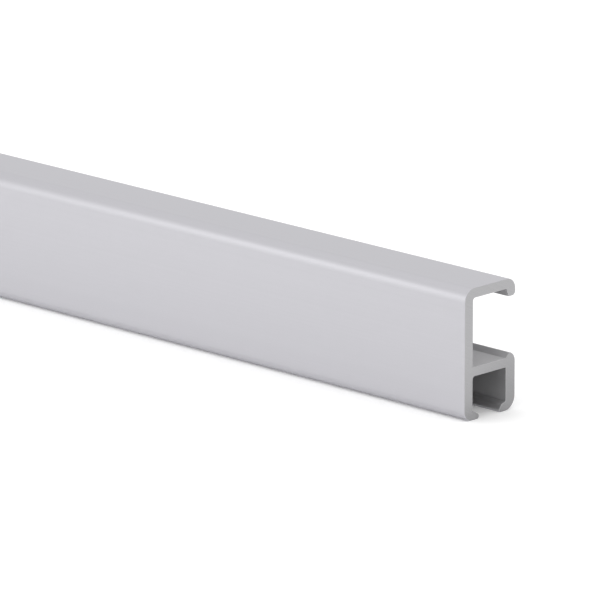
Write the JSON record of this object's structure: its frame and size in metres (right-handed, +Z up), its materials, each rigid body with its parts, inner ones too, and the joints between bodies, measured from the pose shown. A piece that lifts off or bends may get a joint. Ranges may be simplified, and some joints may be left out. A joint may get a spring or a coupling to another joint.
{
  "type": "aluminium extrusion profile",
  "caption": "Straight anodised aluminium rail: C-shaped space at the back for wall clips, slotted channel underneath for sliding hooks.",
  "frame": {"origin": "middle of the footprint, at the bottom of the section", "axes": "+X along the rail, +Y from the smooth front face to the back, which goes against the wall, +Z up"},
  "size_m": [1, 0.0136, 0.025],
  "materials": {
    "aluminium": "natural anodised, satin, with fine lines along the extrusion; sawn bare ends"
  },
  "bodies": {
    "root": {"rail_profile": "aluminium"}
  },
  "joints": []
}
